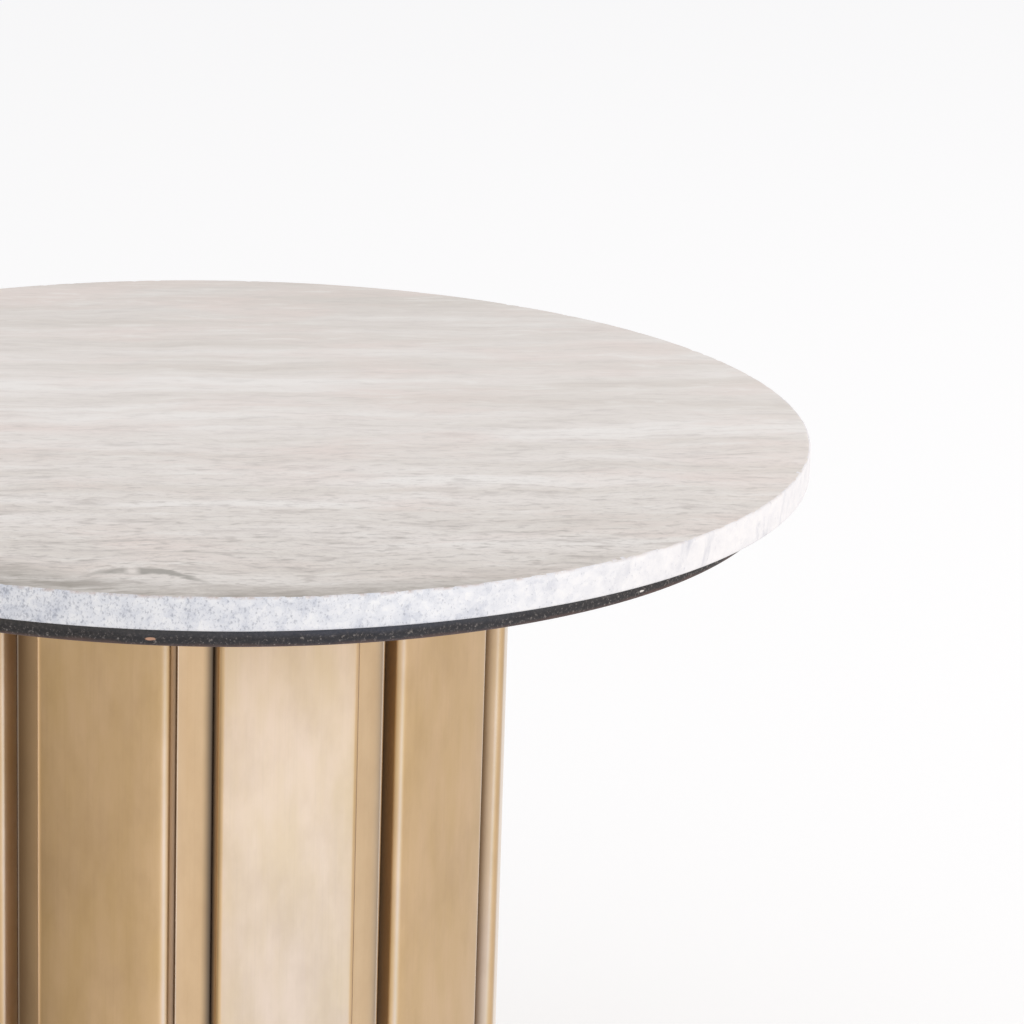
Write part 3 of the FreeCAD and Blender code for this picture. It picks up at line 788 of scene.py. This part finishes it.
def fold_skin(name, fold_radius, spring):
    """A skin whose face has sprung back at its sides, drawn as a section and raised to its height."""
    # Half of the drop is spread over the face, and half of it comes close to the folds.
    def drop(x):
        return spring * (0.5 * (x / slat_half) ** 2 + 0.5 * (x / slat_half) ** 6)

    def slope(x):
        return math.atan(spring / slat_half * (x / slat_half + 3 * (x / slat_half) ** 5))

    # The fold starts where its arc leaves the sloping face. A few rounds find that place.
    fold_start = slat_half - fold_radius
    for _ in range(4):
        fold_start = slat_half - fold_radius * (1 - math.sin(slope(fold_start)))
    fold_lean = slope(fold_start)
    half = []
    for step in range(face_steps + 1):
        across = fold_start * step / face_steps
        half.append(Vector((across, skin_low.y + drop(across), skin_low.z)))
    fold_middle = half[-1] + fold_radius * Vector((-math.sin(fold_lean), math.cos(fold_lean), 0.0))
    for step in range(1, fold_steps + 1):
        angle = fold_lean + (math.pi / 2 - fold_lean) * step / fold_steps
        half.append(fold_middle + fold_radius * Vector((math.sin(angle), -math.cos(angle), 0.0)))
    half.append(Vector((slat_half, skin_high.y, skin_low.z)))

    skin = draw(name, mirrored(half[1:]) + half)
    raise_by(skin_high.z - skin_low.z)
    close_piece()
    outward = sum(face.normal.y for face in skin.data.polygons) < 0
    apply_modifier(skin, "SOLIDIFY", thickness=sheet, offset=-1.0 if outward else 1.0, use_even_offset=True)
    apply_modifier(
        skin, "BEVEL", width=cut_edge, segments=2, limit_method="ANGLE", angle_limit=math.radians(60))
    dress(skin, slat_brass, crease=40)
    return skin


print("A slat is", round(2 * slat_half, 4), "m wide")

# %% [markdown]
# Two skins are folded. The front slat's is folded tighter and has sprung less, and the other one is
# copied, so that nine slats alike stand round the rest of the drum, each with its own mesh. A dark
# wash, partly old darkening and partly painted shade, darkens the returns deeper into each groove,
# more in some than in others: an amount, and how deep it starts, for the left and the right of
# each slat.

# %% The slat skins
slat_count = 10
slat_pitch = 2 * math.pi / slat_count
return_depth = skin_high.y - skin_low.y
plain_wash_and_shade = ((0.6, 0.0015), (0.5, 0.0015))
washes_and_shade = {
    1: ((1.1, 0.0034), (0.5, 0.0015)), 2: ((4.0, 0.0043), (1.1, 0.0030)), 3: ((0.8, 0.0036), (0.5, 0.0015)),
    9: ((0.6, 0.0015), (0.4, 0.0050)), 10: ((0.6, 0.0025), (0.75, 0.0045))}


def wash(piece, amount):
    """Writes how dark each point of a piece is painted, partly old wash and partly painted shade, for its
    finish to read.
    """
    layer = piece.data.attributes.new("wash", "FLOAT", "POINT")
    for vertex in piece.data.vertices:
        layer.data[vertex.index].value = min(max(amount(vertex.co), 0.0), 1.0)


def turn_round(piece, turn):
    """Turns a piece's mesh about the drum's axis. With no window, the operator turns the other way."""
    open_piece(piece)
    bpy.ops.transform.rotate(value=-turn, orient_axis="Z", center_override=(0.0, 0.0, 0.0))
    clear_bench()


slats = [
    fold_skin("brass_slat_01", fold_radius=0.0028, spring=0.0006),
    fold_skin("brass_slat_02", fold_radius=0.0042, spring=0.0017)]
for number in range(3, slat_count + 1):
    slats.append(copy_piece(slats[1], f"brass_slat_{number:02d}"))
for number, slat in enumerate(slats, start=1):
    sides = washes_and_shade.get(number, plain_wash_and_shade)

    # Darker deeper in the return: partly old wash, partly painted shade.
    def wash_and_shade_at(at):
        amount, start = sides[at.x > 0]
        return amount * (at.y - skin_low.y - start) / (return_depth - start)

    wash(slat, wash_and_shade_at)
    turn_round(slat, (number - 1) * slat_pitch)
    hand_over(slat, "table", "antique_brass", f"slat_skin_{number:02d}")

# %% [markdown]
# Brass strips lie at the foot of the grooves and cover the joints between the staves. Each is bent
# up a little at both sides, so it meets the slats' returns in two small coves, and a cove that
# faces the light draws a bright hairline beside the dark of the groove. The strip's place is read
# from its solid, which stands askew in the frame, so it is measured along its own two directions.
# The section is drawn with a pen too: round one cove, along the face, round the other and behind.

# %% The section of a strip
strip_turn = slat_pitch / 2
facing = Vector((math.sin(strip_turn), -math.cos(strip_turn), 0.0))
aside = Vector((math.cos(strip_turn), math.sin(strip_turn), 0.0))
corners = [vertex.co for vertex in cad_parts["groove_strip_01"].data.vertices]
strip_face = max(at.dot(facing) for at in corners)
strip_back = min(at.dot(facing) for at in corners)
strip_half = max(at.dot(aside) for at in corners)
back_half = max(at.dot(aside) for at in corners if at.dot(facing) < strip_back + near)
strip_foot = min(at.z for at in corners)
strip_height = max(at.z for at in corners) - strip_foot
seam = 0.00012
cove_radius = 0.0009
cove_steps = 6
wash_and_shade_reach = 0.0050
cove_turn = math.pi / 2 - strip_turn
cove_reach = cove_radius * math.tan(cove_turn / 2)
cove_step = 2 * cove_radius * math.sin(cove_turn / cove_steps / 2)

right_side = [
    Vector((strip_half - wash_and_shade_reach, -strip_face, strip_foot)),
    Vector((strip_half + seam - cove_reach, -strip_face, strip_foot))]
for step in range(cove_steps):
    angle = (step + 0.5) * cove_turn / cove_steps
    right_side.append(right_side[-1] + cove_step * Vector((math.cos(angle), -math.sin(angle), 0.0)))
right_side.append(Vector((back_half, -strip_back, strip_foot)))
section = right_side + mirrored(right_side) + right_side[:1]
print("Strip face at", round(strip_face, 4), "and half width", round(strip_half, 4))

# %% [markdown]
# The section is filled, raised to its height, copied and turned to the ten grooves. A dark wash,
# partly old darkening and partly painted shade of the groove, lies in a pool along one side of each
# strip: the side, its most, and how far it reaches.
# a pool along one side of each strip: the side, its most, and how far it reaches.

# %% The groove strips
plain_wash_and_shade_pool = (1, 0.5, wash_and_shade_reach)
wash_and_shade_pools = {1: (1, 0.3, 0.005), 9: (-1, 0.66, 0.028), 10: (1, 0.9, 0.005)}

strips = [draw("brass_strip_01", section)]
bpy.ops.mesh.remove_doubles(threshold=near)
bpy.ops.mesh.edge_face_add()
raise_by(strip_height)
close_piece()
dress(strips[0], strip_brass, crease=30)
for number in range(2, slat_count + 1):
    strips.append(copy_piece(strips[0], f"brass_strip_{number:02d}"))
for number, strip in enumerate(strips, start=1):
    side, most, reach = wash_and_shade_pools.get(number, plain_wash_and_shade_pool)
    # Each strip is painted darker towards one side of its groove: partly old wash, partly painted shade.
    wash(strip, lambda at: most * (1 - (strip_half - side * at.x) / reach))
    turn_round(strip, (number - 0.5) * slat_pitch)
    hand_over(strip, "table", "antique_brass", f"groove_strip_{number:02d}")

# %% [markdown]
# The rest is ironmongery and timber, most of it out of sight. Each of these finishes is still a
# real one: plated steel has a faint bloom, powder paint an orange-peel skin, planed timber its
# grain, moulded nylon a fine spark-eroded texture, and cured silicone a soft clear look.

# %% Finishes of the hidden pieces
# Bright zinc plating: a pale, slightly blue metal with a cloudy, uneven gloss.
def plated_steel():
    made, tree, shader, place = new_finish("steel_bright_zinc_plated")
    bloom = add(tree, "TexNoise", {"Vector": place, "Scale": per_size(3)[0], "Detail": 4.0})[0]
    metal = add(tree, "ValToRGB", {"Fac": bloom}, stops=[(0.35, "#b4b9be"), (0.65, "#ced2d4")])[0]
    shine = add(tree, "MapRange", {"Value": bloom, "To Min": 0.25, "To Max": 0.45})[0]
    fill(tree, shader, {"Base Color": metal, "Metallic": 1.0, "Roughness": shine})
    return made


# Powder paint melts to a thick black skin with a slight orange peel. Cured silicone is milky and
# soft, with a rubbery gloss and small bubbles. Both are an even colour with a relief of one size.
def even_skin(name, low, high, size, detail, roughness, depth):
    made, tree, shader, place = new_finish(name)
    bumps = add(tree, "TexNoise", {"Vector": place, "Scale": per_size(size)[0], "Detail": detail})[0]
    colour = add(tree, "ValToRGB", {"Fac": bumps}, stops=[(0.3, low), (0.7, high)])[0]
    relief = add(tree, "Bump", {"Height": bumps, "Strength": 0.3, "Distance": depth})[0]
    fill(tree, shader, {"Base Color": colour, "Roughness": roughness, "Normal": relief})
    return made


# Planed rubberwood: straw brown, with its grain and short dark pores along the stave. A real pore is
# a quarter of a millimetre wide. Here it is drawn wider, so that it shows.
def planed_timber():
    made, tree, shader, place = new_finish("rubberwood_planed")
    grain = add(tree, "Mapping", {"Vector": place, "Scale": per_size(6, 6, 180)})[0]
    rings = add(tree, "TexNoise", {"Vector": grain, "Scale": 1.0, "Detail": 4.0, "Distortion": 0.4})[0]
    wood = add(tree, "ValToRGB", {"Fac": rings}, stops=[
        (0.3, "#b78f5d"), (0.5, "#cfab78"), (0.7, "#dcc094")])[0]
    pore = add(tree, "Mapping", {"Vector": place, "Scale": per_size(0.8, 0.8, 7)})[0]
    pores = add(tree, "TexNoise", {"Vector": pore, "Scale": 1.0, "Detail": 2.0})[0]
    dark = add(tree, "MapRange", {"Value": pores, "From Min": 0.60, "From Max": 0.72, "To Max": 0.5})[0]
    colour = add(tree, "Mix", {0: dark, 6: wood, 7: linear("#8a6336")}, data_type="RGBA")[2]
    relief = add(tree, "Bump", {"Height": pores, "Strength": 0.2, "Distance": 0.0002})[0]
    fill(tree, shader, {"Base Color": colour, "Roughness": 0.65, "Normal": relief})
    return made


# Moulded nylon: near black and waxy, with the fine texture of its mould and a scuffed foot. The
# texture's grit is a tenth of a millimetre on a real pad, and is drawn coarser, so that it shows.
def moulded_nylon():
    made, tree, shader, place = new_finish("nylon_moulded_black")
    grit = add(tree, "TexNoise", {"Vector": place, "Scale": per_size(0.5)[0], "Detail": 2.0})[0]
    resin = add(tree, "ValToRGB", {"Fac": grit}, stops=[(0.3, "#1d1d1f"), (0.7, "#2b2b2e")])[0]
    height = add(tree, "SeparateXYZ", {"Vector": place})["Z"]
    scuff = add(tree, "MapRange", {"Value": height, "From Min": 0.0016, "From Max": 0.0, "To Max": 0.5})[0]
    colour = add(tree, "Mix", {0: scuff, 6: resin, 7: linear("#5b5a59")}, data_type="RGBA")[2]
    relief = add(tree, "Bump", {"Height": grit, "Strength": 0.25, "Distance": 0.0002})[0]
    fill(tree, shader, {"Base Color": colour, "Roughness": 0.55, "Normal": relief})
    return made


zinc, timber, nylon = plated_steel(), planed_timber(), moulded_nylon()
black_paint = even_skin(
    "steel_powder_coated_black", "#1b1b1d", "#26262a", size=1.2, detail=2.0, roughness=0.5, depth=0.0003)
silicone = even_skin(
    "silicone_cured", "#cfcfca", "#e4e4e0", size=2.0, detail=3.0, roughness=0.35, depth=0.0005)
print("Made", [finish.name for finish in (zinc, timber, nylon, black_paint, silicone)])

# %% [markdown]
# The solids behind the brass and the stone are right as they are. They could be modelled again, but
# nobody would see it, so each only takes a finish into its own material slots.

# %% The solids that stay
staying = {
    silicone: ["adhesive_dabs"],
    zinc: ["sub_top_screws", "sub_top_weld_nuts", "top_plate_screws", "bottom_plate_screws",
           "threaded_inserts"],
    black_paint: ["top_plate", "bottom_plate"],
    timber: [f"stave_{number:02d}" for number in range(1, slat_count + 1)]}
for finish, names in staying.items():
    for name in names:
        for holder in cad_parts[name].material_slots:
            holder.material = finish
    print(finish.name, "on", len(names), "nodes")

# %% [markdown]
# Five levelling glides stand under the drum. A glide is a threaded stud in a moulded pad. A thread
# could be a stack of rings, but a real one climbs: so one tooth of it, three points and two lines,
# is wound up the stud by a screw modifier. The winding starts a turn too low and ends a turn too
# high, and two cuts then leave flat ends.

# %% The threaded stud
stud_low, stud_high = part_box("glide_stud_1")
stud_radius = (stud_high.x - stud_low.x) / 2
thread_pitch = 0.00125
thread_depth = 0.0007
turns = math.ceil((stud_high.z - stud_low.z) / thread_pitch) + 2

tooth = [Vector((stud_radius - thread_depth, 0.0, stud_low.z - thread_pitch))]
for way in (1, -1):
    tooth.append(tooth[-1] + Vector((way * thread_depth, 0.0, thread_pitch / 2)))
stud = draw("threaded_stud_1", tooth)
apply_modifier(stud, "SCREW", screw_offset=thread_pitch, iterations=turns, steps=24, render_steps=24,
               use_merge_vertices=True, merge_threshold=near / 10)
open_piece(stud)
for level, side in ((stud_low.z, "clear_inner"), (stud_high.z, "clear_outer")):
    cut_level(level, use_fill=True, **{side: True})
bpy.ops.mesh.select_all(action="SELECT")
bpy.ops.mesh.remove_doubles(threshold=near / 10)
close_piece()
dress(stud, zinc, crease=30)
print("The thread climbs", turns - 2, "turns")

# %% [markdown]
# The pad is a moulded hexagon with rounded corners, a chamfer at its foot and a sunk top, and the
# stud stands in a socket. The socket is bored with a boolean, because a round hole in a hexagon
# has no rings of its own to inset. A little room is left round the stud and under it.

# %% The nylon pad
pad_low, pad_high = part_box("glide_pad_1")
pad_height = pad_high.z - pad_low.z
pad_corner = max(pad_high.x - pad_low.x, pad_high.y - pad_low.y) / 2
# A new circle has a corner on the y axis, so it is turned where the pad is wider along x.
corner_turn = math.radians(90 if pad_high.x - pad_low.x > pad_high.y - pad_low.y else 0)
pad_round, foot_chamfer, top_round = 0.0015, 0.0010, 0.0005
rim_width, rim_sink = 0.0030, 0.0008
socket_room = 0.0002

pad = start_disc("nylon_pad_1", corners=6, radius=pad_corner, level=pad_low.z, turn=corner_turn)
raise_by(pad_height)
pick("edges", pad_low.z + pad_height / 2)
bpy.ops.mesh.bevel(offset=pad_round, segments=4, affect="EDGES")
for level, ease in ((pad_low.z, foot_chamfer), (pad_high.z, top_round)):
    pick("edges", level)
    bpy.ops.mesh.bevel(offset=ease, segments=2, affect="EDGES")
pick("faces", pad_high.z)
bpy.ops.mesh.inset(thickness=rim_width)
raise_by(-rim_sink)
close_piece()
bpy.ops.mesh.primitive_cylinder_add(
    vertices=32, radius=stud_radius + socket_room, depth=pad_height,
    location=(0.0, 0.0, stud_low.z - socket_room + pad_height / 2))
drill = bpy.context.object
apply_modifier(pad, "BOOLEAN", object=drill, operation="DIFFERENCE", solver="EXACT")
bpy.data.objects.remove(drill)
dress(pad, nylon, crease=30)
print("The pad is", round(pad_height, 4), "m high")

# %% [markdown]
# The stud and the pad were made on the drum's axis. Four copies of each, and then the first ones
# themselves, are moved to the places of their solids. Each rides on its own body, because the pad
# turns while the stud slides.

# %% The five glides
glide_count = 5
parts = {"stud": (stud, "zinc_steel"), "pad": (pad, "black_nylon")}
for number in range(glide_count, 0, -1):
    for part, (first, slot) in parts.items():
        piece = copy_piece(first, f"{first.name[:-1]}{number}") if number > 1 else first
        low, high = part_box(f"glide_{part}_{number}")
        middle = (low + high) / 2
        open_piece(piece)
        bpy.ops.transform.translate(value=(middle.x, middle.y, 0.0))
        hand_over(piece, f"glide_{number}_{part}", slot, f"glide_{part}_{number}")
